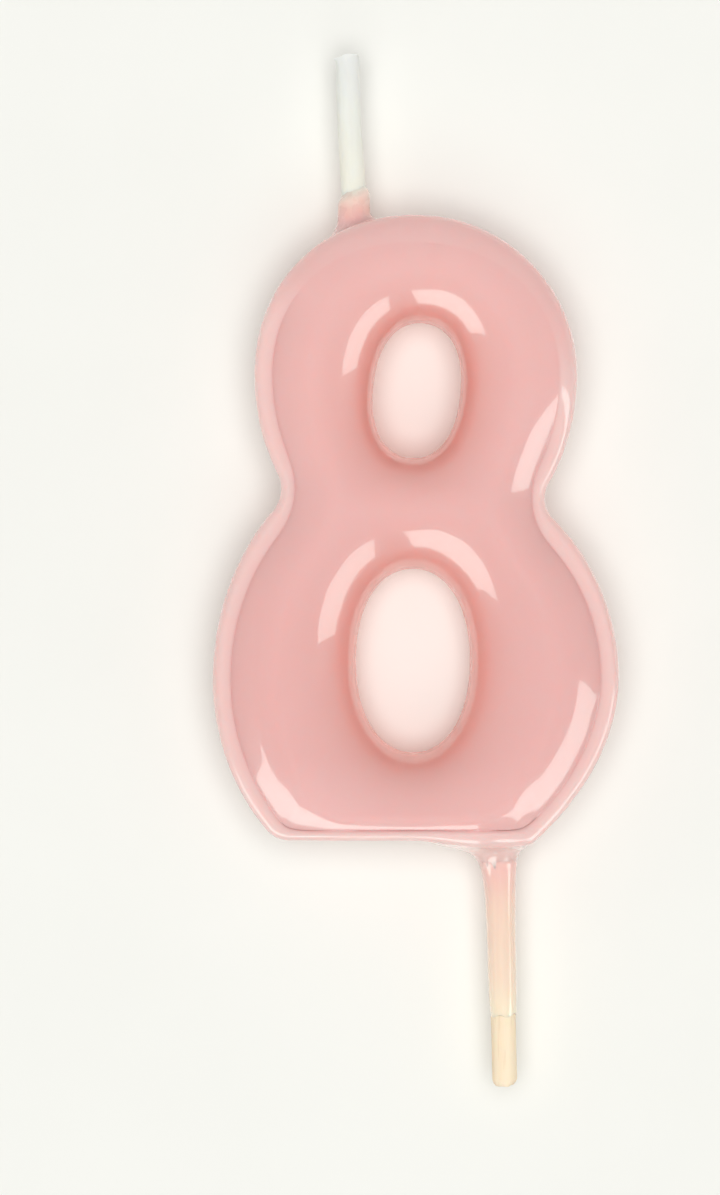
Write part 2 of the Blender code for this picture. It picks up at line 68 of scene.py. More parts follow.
YARNS = 3
PLIES = 7
YARN_REACH = 0.00038
YARN_DEPTH = 0.00027
YARN_SHORT = 0.00045
YARN_SPLAY = 0.25
YARN_SPLAY_FROM = 0.0005
YARN_STEPS = 260
PLAIT_PITCH = 0.007
PLY_RADIUS = 0.00007
PLY_CIRCLE = 0.00012
PLY_PITCH = 0.0016
PLY_SIDES = 7
LOOSE_END = 0.00032
COTTON_WHITE = (0.80, 0.79, 0.73, 1)
COTTON_SHADE = (0.60, 0.58, 0.50, 1)
# The wick's centre line: heights above the underside, and places beside the numeral's middle.
WICK_HEIGHTS = (0.006, 0.0125, 0.0361, crown_z, crown_z + 0.0075, tip_z)
WICK_SIDES = (-0.00794, -0.00794, -0.0066, -0.0048, -0.00517, -0.0053)


def smooth_step(value):
    value = np.clip(value, 0, 1)
    return value * value * (3 - 2 * value)


def wick_side(height):
    """Where the wick's centre line is across the candle at a height."""
    places, sides = np.array(WICK_HEIGHTS), np.array(WICK_SIDES)
    slopes = np.gradient(sides, places)
    piece = np.clip(np.searchsorted(places, height) - 1, 0, len(places) - 2)
    span = places[piece + 1] - places[piece]
    t = (height - places[piece]) / span
    start = sides[piece] * (1 + 2 * t) * (1 - t) ** 2 + slopes[piece] * span * t * (1 - t) ** 2
    end = sides[piece + 1] * t * t * (3 - 2 * t) + slopes[piece + 1] * span * t * t * (t - 1)
    return centre_x + start + end


def grid_mesh(name, rings):
    """A mesh out of closed rings of points, each joined to the next, with its ends filled."""
    rings = np.asarray(rings)
    rows, columns = rings.shape[:2]
    index = np.arange(rows * columns).reshape(rows, columns)
    around = np.roll(index, -1, axis=1)
    quads = np.stack([index[:-1], around[:-1], around[1:], index[1:]], axis=-1)
    faces = quads.reshape(-1, 4).tolist()
    faces.append(index[0][::-1].tolist())
    faces.append(index[-1].tolist())
    mesh = bpy.data.meshes.new(name)
    mesh.from_pydata(rings.reshape(-1, 3).tolist(), [], faces)
    mesh.validate()
    return mesh


def tube_rings(centres, radius, sides):
    """Rings round a centre line that climbs, counter-clockwise as seen from above."""
    angle = np.arange(sides) * math.tau / sides
    ring = np.stack([np.cos(angle), np.sin(angle), np.zeros(sides)], axis=-1)
    return centres[:, None] + radius * ring


def join_meshes(name, meshes):
    points, faces = [], []
    for mesh in meshes:
        first = len(points)
        points += [tuple(v.co) for v in mesh.vertices]
        faces += [[first + i for i in face.vertices] for face in mesh.polygons]
        bpy.data.meshes.remove(mesh)
    joined = bpy.data.meshes.new(name)
    joined.from_pydata(points, [], faces)
    return joined


def make_piece(name, mesh, material, node):
    """A finished piece that stands for a CAD node, rides on the candle and keeps its finish."""
    piece = bpy.data.objects.new(name, mesh)
    bpy.context.scene.collection.objects.link(piece)
    mesh.materials.append(material)
    mesh.shade_smooth()
    mesh.set_sharp_from_angle(angle=math.radians(50))
    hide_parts(node)
    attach(piece, "root")


class Finish:
    """A material being mixed: its nodes are added one by one and wired to its shader."""

    def __init__(self, name):
        self.material = bpy.data.materials.new(name)
        self.material.use_nodes = True
        self.tree = self.material.node_tree
        self.shader = self.tree.nodes["Principled BSDF"]

    def add(self, kind, **settings):
        node = self.tree.nodes.new("ShaderNode" + kind)
        for key, value in settings.items():
            setattr(node, key, value)
        return node

    def wire(self, output, socket):
        self.tree.links.new(output, socket)

    def place(self, stretch=(1, 1, 1)):
        """The spot on the piece, in metres, stretched along its axes."""
        spot = self.add("TexCoord").outputs["Object"]
        mapping = self.add("Mapping")
        mapping.inputs["Scale"].default_value = stretch
        self.wire(spot, mapping.inputs["Vector"])
        return mapping.outputs["Vector"]

    def cloud(self, scale, detail=3.0, stretch=(1, 1, 1), low=0.3, high=0.7):
        """Soft noise between 0 and 1, with its grey middle spread out."""
        texture = self.add("TexNoise")
        texture.inputs["Scale"].default_value = scale
        texture.inputs["Detail"].default_value = detail
        self.wire(self.place(stretch), texture.inputs["Vector"])
        return self.spread(texture.outputs["Fac"], low, high)

    def spread(self, value, low, high, to_low=0.0, to_high=1.0):
        node = self.add("MapRange", interpolation_type="SMOOTHSTEP")
        node.inputs["From Min"].default_value = low
        node.inputs["From Max"].default_value = high
        node.inputs["To Min"].default_value = to_low
        node.inputs["To Max"].default_value = to_high
        self.wire(value, node.inputs["Value"])
        return node.outputs["Result"]

    def mark(self, name):
        """A value that was laid down on the mesh as it was shaped."""
        return self.add("Attribute", attribute_name=name).outputs["Fac"]

    def times(self, value, factor):
        node = self.add("Math", operation="MULTIPLY")
        self.wire(value, node.inputs[0])
        node.inputs[1].default_value = factor
        return node.outputs["Value"]

    def blend(self, share, first, second):
        """First where the share is 0 and second where it is 1; each a colour or a wire."""
        node = self.add("Mix", data_type="RGBA")
        self.wire(share, node.inputs["Factor"])
        sockets = [s for s in node.inputs if s.type == "RGBA"]
        for value, socket in zip((first, second), sockets):
            if isinstance(value, tuple):
                socket.default_value = value
            else:
                self.wire(value, socket)
        return [s for s in node.outputs if s.type == "RGBA"][0]

    def relief(self, height, depth):
        """Fine unevenness of the surface, by its depth in metres."""
        bump = self.add("Bump")
        bump.inputs["Strength"].default_value = 1
        bump.inputs["Distance"].default_value = depth
        self.wire(height, bump.inputs["Height"])
        previous = self.shader.inputs["Normal"]
        if previous.is_linked:
            self.wire(previous.links[0].from_socket, bump.inputs["Normal"])
        self.wire(bump.outputs["Normal"], previous)

    def fixed(self, **values):
        for key, value in values.items():
            self.shader.inputs[key.replace("_", " ")].default_value = value


def lay_mark(mesh, name, values):
    """Lays a value down on every point of a mesh for its finish to read."""
    layer = mesh.attributes.new(name, "FLOAT", "POINT")
    layer.data.foreach_set("value", np.asarray(values, dtype=np.float32).ravel())


cotton = Finish("plaited_cotton")
lint = cotton.cloud(5200, 4, (1, 1, 0.25))
cotton.wire(cotton.blend(lint, COTTON_SHADE, COTTON_WHITE), cotton.shader.inputs["Base Color"])
cotton.wire(cotton.spread(lint, 0, 1, 0.95, 0.75), cotton.shader.inputs["Roughness"])
cotton.relief(lint, 0.00002)
cotton.fixed(Sheen_Weight=0.3, Sheen_Roughness=0.5)

# Six plies of each yarn twist round the seventh. Each ply is snipped at its own height, and the
# yarns splay a little where they come out of the wax.
for yarn in range(YARNS):
    plies = []
    for ply in range(PLIES):
        loose = LOOSE_END * ((ply * 5 + yarn * 3) % PLIES) / (PLIES - 1)
        height = np.linspace(WICK_HEIGHTS[0], tip_z - YARN_SHORT + loose, YARN_STEPS)
        swing = math.tau * (height / PLAIT_PITCH + yarn / YARNS)
        twist = math.tau * (height / PLY_PITCH + ply / (PLIES - 1))
        off = 0 if ply == PLIES - 1 else PLY_CIRCLE
        past = np.clip((height - tip_z + YARN_SPLAY_FROM) / LOOSE_END, 0, 1.5)
        across = np.sin(swing) * YARN_REACH * (1 + YARN_SPLAY * past)
        deep = np.sin(2 * swing) * YARN_DEPTH
        side = wick_side(height) + across + off * np.cos(twist)
        centres = np.column_stack([side, deep + off * np.sin(twist), height])
        plies.append(grid_mesh("ply", tube_rings(centres, PLY_RADIUS, PLY_SIDES)))
    name = f"wick_yarn_{yarn + 1}"
    yarn_mesh = join_meshes(name, plies)
    make_piece(f"cotton_yarn_{yarn + 1}", yarn_mesh, cotton.material, name)

# ---- Priming wax of the wick ------------------------------------------------------------
# Hard white wax that the plait was drawn through, so that it stands up and lights easily. It
# lies smooth over the yarns, and the scissors left a slanted end with a small burr.
PRIME_FOOT = 0.00097
PRIME_TIP = 0.00089
PRIME_LUMPS = 0.022
PRIME_STREAKS = 0.016
PLAIT_SHOWS = 0.008
SNIP_SLANT = math.tan(math.radians(24))
SNIP_FLAT = 0.0001
SNIP_PRESS = 0.0022
SNIP_ROUND = 0.00028
SNIP_TRIM = 0.00006
BURR = 0.00016
BURR_HEIGHT = 0.0003
PRIME_ROWS = 300
PRIME_SIDES = 56
PRIME_WHITE = (0.80, 0.82, 0.76, 1)
PRIME_WARM = (0.83, 0.81, 0.70, 1)
PRIME_GREY = (0.77, 0.78, 0.76, 1)


def wick_radius(height):
    share = np.clip((height - crown_z) / (tip_z - crown_z), 0, 1)
    return PRIME_FOOT + (PRIME_TIP - PRIME_FOOT) * share


def facings(sides):
    """The directions in which the sides of a round stick face, counter-clockwise from right."""
    turns = np.arange(sides) * math.tau / sides
    return [Vector((math.cos(turn), math.sin(turn), 0)) for turn in turns]


def unevenness(facing, level, around, along, shift=0):
    """Smooth noise over a round stick: how fine it is round the stick and along it."""
    return noise.noise(Vector((facing.x * around, facing.y * around, level * along + shift)))


height = np.linspace(wick_low.z + 0.0002, tip_z, PRIME_ROWS)
prime = np.empty((PRIME_ROWS, PRIME_SIDES, 3))
for side, facing in enumerate(facings(PRIME_SIDES)):
    turn = side * math.tau / PRIME_SIDES
    for row, level in enumerate(height):
        uneven = PRIME_LUMPS * unevenness(facing, level, 0.9, 420)
        uneven += PRIME_STREAKS * unevenness(facing, level, 2.4, 70, 9)
        uneven += PLAIT_SHOWS * math.sin(math.tau * YARNS * level / PLAIT_PITCH + 2 * turn)
        radius = wick_radius(level) * (1 + uneven)
        prime[row, side] = (wick_side(level) + radius * facing.x, radius * facing.y, level)
# The snip: everything near the tip is pressed under a slanted, rounded end.
from_axis = prime[..., 0] - wick_side(tip_z)
left = np.clip(-from_axis / PRIME_TIP, 0, 1) ** 6
slant = -SNIP_SLANT * np.clip(-from_axis - SNIP_FLAT, 0, None)
ceiling = tip_z + slant - 0.00002
near_tip = np.clip((prime[..., 2] - tip_z + SNIP_PRESS) / SNIP_PRESS, 0, 1)
prime[..., 2] += (ceiling - tip_z) * near_tip
near_end = smooth_step((prime[..., 2] - ceiling + BURR_HEIGHT) / BURR_HEIGHT)
prime[..., 0] -= BURR * left * near_end


def shrunk(ring, share):
    """A ring drawn in toward its own middle."""
    middle = ring.mean(axis=0)
    return middle + (ring - middle) * share


# The end is closed by smaller and smaller rings, dished by a tenth of a millimetre.
caps = [prime]
for share, dish in ((0.93, 0), (0.80, 0.00004), (0.6, 0.00007), (0.35, 0.0001), (0.1, 0.0001)):
    ring = shrunk(prime[-1], share)
    ring[:, 2] -= dish
    caps.append(ring[None])
right = np.clip(from_axis[-1] / PRIME_TIP, 0, 1)
caps[0][-1, :, 2] -= SNIP_ROUND * right**3
caps[0][-1, :, 0] -= SNIP_TRIM * right**2
prime = np.vstack(caps)
prime_mesh = grid_mesh("wick_prime_wax", prime)
lay_mark(prime_mesh, "climb", smooth_step((prime[..., 2] - crown_z) / (tip_z - crown_z)))

prime_wax = Finish("priming_wax")
mottle = prime_wax.cloud(900, 3, (1, 1, 0.3))
tone = prime_wax.blend(prime_wax.mark("climb"), PRIME_WARM, PRIME_GREY)
tone = prime_wax.blend(prime_wax.times(mottle, 0.6), tone, PRIME_WHITE)
prime_wax.wire(tone, prime_wax.shader.inputs["Base Color"])
prime_wax.wire(prime_wax.spread(mottle, 0, 1, 0.34, 0.5), prime_wax.shader.inputs["Roughness"])
prime_wax.relief(prime_wax.cloud(2600, 4, (1, 1, 0.12)), 0.000012)
prime_wax.fixed(
    Subsurface_Weight=0.6,
    Subsurface_Radius=(1.0, 0.95, 0.8),
    Subsurface_Scale=0.0006,
    IOR=1.44,
)
make_piece("primed_wick", prime_mesh, prime_wax.material, "wick_prime_wax")

# ---- Moulded core -----------------------------------------------------------------------
# Pale pink paraffin, cast in a two-part mould round the wick. The coat hides it altogether,
# so it stays as cast: dull, a little chalky, with the mould's faint grain.
CORE_PINK = (0.80, 0.50, 0.46, 1)
CORE_CHALK = (0.86, 0.60, 0.56, 1)
core_wax = Finish("cast_core_wax")
chalk = core_wax.cloud(350, 5)
core_wax.wire(core_wax.blend(chalk, CORE_PINK, CORE_CHALK), core_wax.shader.inputs["Base Color"])
core_wax.wire(core_wax.spread(chalk, 0, 1, 0.4, 0.58), core_wax.shader.inputs["Roughness"])
core_wax.relief(core_wax.cloud(2400, 3), 0.00002)
core_wax.fixed(IOR=1.44)
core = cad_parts["wax_core"]
core.data.materials.clear()
core.data.materials.append(core_wax.material)

# ---- Wooden pick ------------------------------------------------------------------------
# A round birch stick of two millimetres, drawn through a die, so its grain runs along it in
# fine grooves. The saw left its end uneven and a little torn. Its top is pushed into the wax.
pick_low, pick_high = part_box("wooden_pick")
PICK_RADIUS = 0.00097
PICK_LEAN = math.tan(math.radians(1.3))
PICK_GROOVES = 0.016
PICK_WANDER = 0.022
PICK_SIDES = 72
PICK_ROWS = 220
END_SOFTEN = 0.00055
END_SHRINK = 0.3
TORN = 0.0003
TORN_REACH = 0.002
SAWN_ROUGH = 0.00006
BIRCH_PALE = (0.93, 0.80, 0.60, 1)
BIRCH_WARM = (0.88, 0.69, 0.47, 1)
BIRCH_DARK = (0.70, 0.50, 0.32, 1)


def pick_axis(height):
    """Where the leaning pick's middle is across the candle at a height."""
    return -PICK_LEAN * height


height = pick_high.z + (pick_low.z - pick_high.z) * np.linspace(0, 1, PICK_ROWS)[::-1]
pick = np.empty((PICK_ROWS, PICK_SIDES, 3))
torn = np.empty(PICK_SIDES)
for side, facing in enumerate(facings(PICK_SIDES)):
    torn[side] = TORN * (0.5 + unevenness(facing, 0, 0.9, 0, 4.4))
    for row, level in enumerate(height):
        uneven = PICK_GROOVES * unevenness(facing, level, 9, 60)
        uneven += PICK_WANDER * unevenness(facing, level, 1.2, 160)
        radius = PICK_RADIUS * (1 + uneven)
        pick[row, side] = (pick_axis(level) + radius * facing.x, radius * facing.y, level)
near_end = smooth_step(1 - (pick[..., 2] - pick_low.z) / TORN_REACH)
pick[..., 2] += np.clip(torn, 0, None) * near_end
soften = np.clip(1 - (pick[..., 2] - pick[:1, :, 2]) / END_SOFTEN, 0, 1)
shrink = 1 - END_SHRINK * soften**2
middle = pick_axis(pick[..., 2])
pick[..., 0] = middle + (pick[..., 0] - middle) * shrink
pick[..., 1] *= shrink
ends = []
for share in (0.02, 0.2, 0.45, 0.7, 0.9):
    ring = shrunk(pick[0], share)
    rough = [noise.noise(Vector((x * 2600, y * 2600, share))) for x, y in ring[:, :2]]
    ring[:, 2] += SAWN_ROUGH * np.array(rough)
    ends.append(ring[None])
pick_mesh = grid_mesh("wooden_pick", np.vstack(ends + [pick]))

birch = Finish("sawn_birch")
fibre = birch.cloud(2600, 5, (1, 1, 0.03))
band = birch.cloud(700, 2, (1, 1, 0.05))
pores = birch.spread(birch.cloud(5200, 2, (1, 1, 0.05)), 0.72, 0.95)
tone = birch.blend(birch.times(band, 0.7), BIRCH_PALE, BIRCH_WARM)
tone = birch.blend(birch.times(fibre, 0.35), tone, BIRCH_WARM)
tone = birch.blend(birch.times(pores, 0.22), tone, BIRCH_DARK)
birch.wire(tone, birch.shader.inputs["Base Color"])
birch.wire(birch.spread(fibre, 0, 1, 0.52, 0.7), birch.shader.inputs["Roughness"])
birch.relief(fibre, 0.000015)
birch.fixed(Subsurface_Weight=0.15, Subsurface_Scale=0.0004, IOR=1.5)
make_piece("birch_pick", pick_mesh, birch.material, "wooden_pick")

# ---- Dipped coat ------------------------------------------------------------------------
# Pink gloss wax, 0.8 mm thick, from dipping the casting twice. Its face is a soft dome that
# rolls down into both holes, and a fine crease parts it from the lip that stood on the mould's
# edge. While warm it drained to the underside and drew a neck down round the pick.
back_y = coat_high.y
UPPER_CENTRE = 0.0361
UPPER_HALF_WIDTH = (coat_high.x - coat_low.x) / 2 * 0.795
UPPER_RISE = crown_z - UPPER_CENTRE
UPPER_SAG = 0.01485
LOWER_CENTRE = 0.0125
LOWER_HALF_WIDTH = (coat_high.x - coat_low.x) / 2
LOWER_RISE_LEFT = 0.0185
LOWER_RISE_RIGHT = 0.0170
LOWER_DROP_LEFT = 0.0172
LOWER_DROP_RIGHT = 0.0158
LEFT_WAIST_RADIUS = 0.0026
RIGHT_WAIST_RADIUS = 0.0022
FOOT_RADIUS = 0.0022
HEEL_RADIUS = 0.0009
# Each hole: its middle, half sizes, how square its oval is, its lean, and its roll's reach
# and drop.
HOLES = (
    ((0.0001, 0.0350), (0.0035, 0.00536), 2.25, math.radians(6), (0.0058, 0.0044)),
    ((-0.0002, 0.01395), (0.00454, 0.00725), 2.15, 0.0, (0.0070, 0.0052)),
)
FULL_DEPTH = 0.009
CREASE_DEPTH = 0.0073
SHOULDER = 0.0037
SHOULDER_LATER = 26
# Along the middle of the underside the lip stands higher, and the dome meets it sooner.
FOOT_SHOULDER = 0.0012
FOOT_LIFT = 0.00116
FOOT_MIDDLE = -0.0005
FOOT_REACH = 0.0100
FOOT_FADE = 0.0048
CROWN_ROLL = 0.0054
LIP_SIDE = 0.0014
LIP_CROWN = 0.0022
LIP_FOOT = 0.0008
LIP_ROUND = 0.0006
CREASE_EASE = 0.0016
LIP_BEAD = 0.00014
# The bearings, seen from the upper bowl's middle, at which the crease begins on each side, and
# the degrees over which it fades in. A short trace of it stays near the top.
CREASE_RIGHT, CREASE_LEFT, CREASE_FADE = 22, 138, 26
TRACE_BEARING, TRACE_SPAN, TRACE_STRENGTH = 82, 4, 0.12
GROOVE_DEPTH = 0.00002
GROOVE_WIDTH = 0.00008
WALL_BULGE = 0.00012
SIDE_DRAFT = 0.0001
BACK_ROUND = 0.0008
HOLE_BACK_ROUND = 0.0004
BACK_SINK = 0.00016
BACK_SINK_REACH = 0.0028
WAVE = 0.000035
WAVE_AT_EDGES = 0.08
WAVE_SUNK = 0.6
# The neck hangs lower and reaches farther on the left. Its drop is given one unit out from its
# core, and falls off with a power of the distance.
NECK_UNIT = 0.001
NECK_INSIDE = 0.0012
NECK_REACH = 0.0080
NECK_FADE = 0.0045
NECK_DEEPEST = 0.0024
NECK_CORE_LEFT, NECK_CORE_RIGHT = 0.0011, 0.0009
NECK_DROP_LEFT, NECK_DROP_RIGHT = 0.0013, 0.00075
NECK_FALL_LEFT, NECK_FALL_RIGHT = 0.6, 1.0
UPPER_COLUMNS, LOWER_COLUMNS, WEB_COLUMNS = 170, 250, 50
FRONT_ROWS, LIP_ROWS, SIDE_ROWS, WALL_ROWS, BACK_ROWS = 50, 20, 24, 14, 18
CURVE_POINTS = 2400
RIM_POINTS = 240
FINER_BY = 1.2
FINER_REACH = 0.004
CORNER_PULL = 0.0015
INWARD_EASE = 0.0006
UNDERSIDE_BAND = 0.0007
# Where the finish changes: deeper and redder by the holes, partly painted shade and pink bounce
# light where the rims roll into them, partly wax lying thicker there; a painted shade line in the
# crease; paler upward; paler at the foot as painted light; a painted glow of light through the
# lip.
HOLE_SHADE_REACH = 0.0021
CREASE_SHADE_WIDTH = 0.00016
PALE_FROM, PALE_SPAN = 0.012, 0.036
# Painted light that lifts the shade on the coat under the lower hole.
FOOT_LIGHT_TOP, FOOT_LIGHT_SPAN, FOOT_PAINTED_LIGHT = 0.0070, 0.004, 0.85
COAT_PINK = (0.780, 0.440, 0.420, 1)
COAT_PALE = (0.805, 0.475, 0.455, 1)
# Mottle, and the painted shade and pink bounce light by the holes, with the thicker wax there.
COAT_MOTTLE_AND_HOLE_SHADE = (0.840, 0.385, 0.330, 1)
# Pale flecks, and the painted glow of light through the thin lip.
COAT_FLECK_AND_LIP_GLOW = (0.830, 0.580, 0.550, 1)
# Painted shade for the line in the crease.
COAT_CREASE_SHADE = (0.700, 0.350, 0.320, 1)
COAT_NECK = (0.850, 0.520, 0.470, 1)


def oval_arc(middle, half_width, half_height, fullness, start, end):
    angle = np.radians(np.linspace(start, end, CURVE_POINTS))
    across = np.sign(np.cos(angle)) * np.abs(np.cos(angle)) ** (2 / fullness)
    up = np.sign(np.sin(angle)) * np.abs(np.sin(angle)) ** (2 / fullness)
    return np.column_stack([half_width * across, middle + half_height * up])


def left_of_travel(curve):
    along = np.gradient(curve, axis=0)
    along /= np.linalg.norm(along, axis=1, keepdims=True)
    return np.column_stack([-along[:, 1], along[:, 0]])


def round_corner(before, after, radius, side):
    """Joins two crossing curves with an arc, centred to the left (side 1) or right (-1)."""
    first = before + side * radius * left_of_travel(before)
    second = after + side * radius * left_of_travel(after)
    apart = np.linalg.norm(first[:, None] - second[None], axis=2)
    leave, join = np.unravel_index(apart.argmin(), apart.shape)
    centre = (first[leave] + second[join]) / 2
    start = math.atan2(*(before[leave] - centre)[::-1])
    end = math.atan2(*(after[join] - centre)[::-1])
    turn = (end - start) * side % math.tau * side
    angle = start + turn * np.linspace(0, 1, 200)
    arc = centre + radius * np.column_stack([np.cos(angle), np.sin(angle)])
    return np.vstack([before[:leave], arc, after[join + 1 :]])


def split_at_waist(curve):
    between = (curve[:, 1] > LOWER_CENTRE) & (curve[:, 1] < UPPER_CENTRE)
    inner = np.where(between, np.abs(curve[:, 0]), np.inf).argmin()
    return curve[: inner + 1], curve[inner:]


def outline_halves():
    """The numeral's edge as two curves: over the upper bowl, then round the lower one."""
    upper = (UPPER_CENTRE, UPPER_HALF_WIDTH)
    lower = (LOWER_CENTRE, LOWER_HALF_WIDTH)
    crown_right = oval_arc(*upper, UPPER_RISE, 2.0, 0, 90)
    crown_left = oval_arc(*upper, UPPER_RISE, 2.1, 90, 180)
    sag_left = oval_arc(*upper, UPPER_SAG, 2.0, 180, 250)
    sag_right = oval_arc(*upper, UPPER_SAG, 2.0, 290, 360)
    flank_left = oval_arc(*lower, LOWER_RISE_LEFT, 2.0, 110, 180)
    flank_right = oval_arc(*lower, LOWER_RISE_RIGHT, 2.0, 0, 70)
    foot_left = oval_arc(*lower, LOWER_DROP_LEFT, 2.0, 180, 265)
    foot_right = oval_arc(*lower, LOWER_DROP_RIGHT, 1.85, 275, 360)
    share = np.linspace(-1, 1, CURVE_POINTS)
    underside = np.column_stack([LOWER_HALF_WIDTH * share, 0 * share])
    half = CURVE_POINTS // 2
    left = round_corner(sag_left, flank_left, LEFT_WAIST_RADIUS, -1)
    right = round_corner(flank_right, sag_right, RIGHT_WAIST_RADIUS, -1)
    foot = round_corner(foot_left, underside[:half], FOOT_RADIUS, 1)
    heel = round_corner(underside[half:], foot_right, HEEL_RADIUS, 1)
    left_above, left_below = split_at_waist(left)
    right_below, right_above = split_at_waist(right)
    over = np.vstack([right_above, crown_right[1:], crown_left[1:], left_above[1:]])
    round_foot = np.vstack([left_below, foot[1:], heel[1:], right_below[1:]])
    return over, round_foot


def even_places(curve, count):
    """Fractional places along a curve, closer where it turns and beside the pick and wick."""
    step = np.diff(curve, axis=0)
    heading = np.unwrap(np.arctan2(step[:, 1], step[:, 0]))
    turn = np.abs(np.diff(heading, prepend=heading[0]))
    middle = (curve[1:] + curve[:-1]) / 2
    weight = np.linalg.norm(step, axis=1) + CORNER_PULL * turn
    for x, z in ((-centre_x, 0), (WICK_SIDES[3], crown_z)):
        away = np.hypot(middle[:, 0] - x, middle[:, 1] - z)
        weight = weight * (1 + FINER_BY * np.exp(-((away / FINER_REACH) ** 2)))
    total = np.concatenate([[0], np.cumsum(weight)])
    return np.interp(np.linspace(0, total[-1], count + 1), total, np.arange(len(curve)))


def pick_out(values, places):
    index = np.arange(len(values))
    return np.column_stack([np.interp(places, index, column) for column in values.T])


def make_loop(upper_columns, lower_columns):
    """The closed outline with its inward directions and the width of its lip."""
    points, inward = [], []
    for curve, count in zip(outline_halves(), (upper_columns, lower_columns)):
        places = even_places(curve, count)[:-1]
        points.append(pick_out(curve, places))
        inward.append(pick_out(left_of_travel(curve), places))
    points, inward = np.vstack(points), np.vstack(inward)
    for waist in (0, upper_columns):
        inward[waist] = (-np.sign(points[waist, 0]), 0)
    inward /= np.linalg.norm(inward, axis=1, keepdims=True)
    facing_up = np.clip(-inward[:, 1], 0, 1) ** 3
    facing_down = np.clip(inward[:, 1], 0, 1) ** 3
    lip = LIP_SIDE + (LIP_CROWN - LIP_SIDE) * facing_up + (LIP_FOOT - LIP_SIDE) * facing_down
    return points, inward, lip


def hole_edge(hole, toward, grow):
    """Where rays from the hole's middle to some points leave the hole, grown by a margin."""
    middle, half, oval, turn, _ = hole
    ray = np.asarray(toward) - middle
    ray /= np.linalg.norm(ray, axis=1, keepdims=True)
    across = ray[:, 0] * math.cos(turn) - ray[:, 1] * math.sin(turn)
    up = ray[:, 0] * math.sin(turn) + ray[:, 1] * math.cos(turn)
    grown = np.array(half) + grow
    reach = (np.abs(across / grown[0]) ** oval + np.abs(up / grown[1]) ** oval) ** (-1 / oval)
    return np.array(middle) + ray * reach[:, None]


def nearest_on(points, closed_curve):
    """Distance from each point to a closed chain of straight pieces, and the place along it."""
    start, end = closed_curve, np.roll(closed_curve, -1, axis=0)
    along = end - start
    reach, place = [], []
    for block in np.array_split(points, max(1, len(points) // 2000)):
        offset = block[:, None] - start[None]
        share = np.clip((offset * along).sum(2) / (along**2).sum(1), 0, 1)
        away = np.linalg.norm(offset - share[..., None] * along, axis=2)
        nearest = away.argmin(axis=1)
        reach.append(away.min(axis=1))
        place.append(nearest + share[np.arange(len(block)), nearest])
    return np.concatenate(reach), np.concatenate(place)


def read_round(values, place):
    """Values kept round the edge, read at places between its points."""
    return np.interp(place, np.arange(len(values) + 1), np.append(values, values[0]))


def smooth_round(values, reach):
    """Values round the edge, each averaged with its neighbours over a reach."""
    step = np.linalg.norm(np.roll(edge_points, -1, axis=0) - edge_points, axis=1)
    place = np.concatenate([[0], np.cumsum(step)])
    apart = np.abs(place[:-1, None] - place[None, :-1])
    apart = np.minimum(apart, place[-1] - apart)
    weight = np.exp(-((apart / reach) ** 2)) * (step + np.roll(step, 1))
    return weight @ values / weight.sum(axis=1, keepdims=True)


edge_points, edge_inward, edge_lip = make_loop(UPPER_COLUMNS, LOWER_COLUMNS)
crease_points = smooth_round(edge_points + edge_inward * edge_lip[:, None], CREASE_EASE)
edge_lip = np.linalg.norm(crease_points - edge_points, axis=1)
lip_inward = (crease_points - edge_points) / edge_lip[:, None]
edge_inward = smooth_round(edge_inward, INWARD_EASE)
edge_inward /= np.linalg.norm(edge_inward, axis=1, keepdims=True)
rim_angles = np.arange(RIM_POINTS) * math.tau / RIM_POINTS
rim_rays = np.column_stack([np.cos(rim_angles), np.sin(rim_angles)])
hole_rims = [hole_edge(hole, rim_rays + hole[0], 0) for hole in HOLES]


def crease_strength(points, later=0):
    """1 where the crease is plain, 0 over the crown, where the coat ran smooth. On the right
    it may begin some degrees later."""
    bearing = np.degrees(np.arctan2(points[:, 1] - UPPER_CENTRE, points[:, 0]))
    right = smooth_step((CREASE_RIGHT - later - bearing) / CREASE_FADE) * (bearing > -90)
    left = smooth_step((bearing - CREASE_LEFT) / CREASE_FADE) + (bearing < -90)
    trace = TRACE_STRENGTH * np.exp(-(((bearing - TRACE_BEARING) / TRACE_SPAN) ** 2))
    return np.clip(right + left + trace, 0, 1)


def hole_distance(points):
    return [nearest_on(points, rim)[0] for rim in hole_rims]


def foot_share(points):
    """1 along the middle of the underside, where the step at the crease is low and short."""
    share = smooth_step((FOOT_REACH - np.abs(points[:, 0] - FOOT_MIDDLE)) / FOOT_FADE)
    return share * (points[:, 1] < LOWER_CENTRE / 2)


def face_depth(points):
    """Thickness from the flat back to the dome over points inside the crease."""
    from_crease, place = nearest_on(points, crease_points)
    plain = read_round(crease_strength(crease_points, SHOULDER_LATER), place)
    from_edge = from_crease + read_round(edge_lip, place)
    at_foot = foot_share(points)
    reach = SHOULDER + (FOOT_SHOULDER - SHOULDER) * at_foot
    step = FULL_DEPTH - CREASE_DEPTH - FOOT_LIFT * at_foot
    creased = FULL_DEPTH - step * (1 - np.clip(from_crease / reach, 0, 1)) ** 2
    creased -= GROOVE_DEPTH * np.exp(-((from_crease / GROOVE_WIDTH) ** 2))
    domed = creased * plain + crown_depth(from_edge) * (1 - plain)
    for hole, away in zip(HOLES, hole_distance(points)):
        reach, drop = hole[-1]
        share = 1 - np.clip(away / reach, 0, 1)
        domed = domed - drop * (1 - np.sqrt(1 - share**2))
    return domed


def crown_depth(from_edge):
    """The coat's one soft round from the side to the dome, where there is no crease."""
    share = 1 - np.clip(from_edge / CROWN_ROLL, 0, 1)
    edge_depth = CREASE_DEPTH - LIP_ROUND
    return FULL_DEPTH - (FULL_DEPTH - edge_depth) * (1 - np.sqrt(1 - share**2))


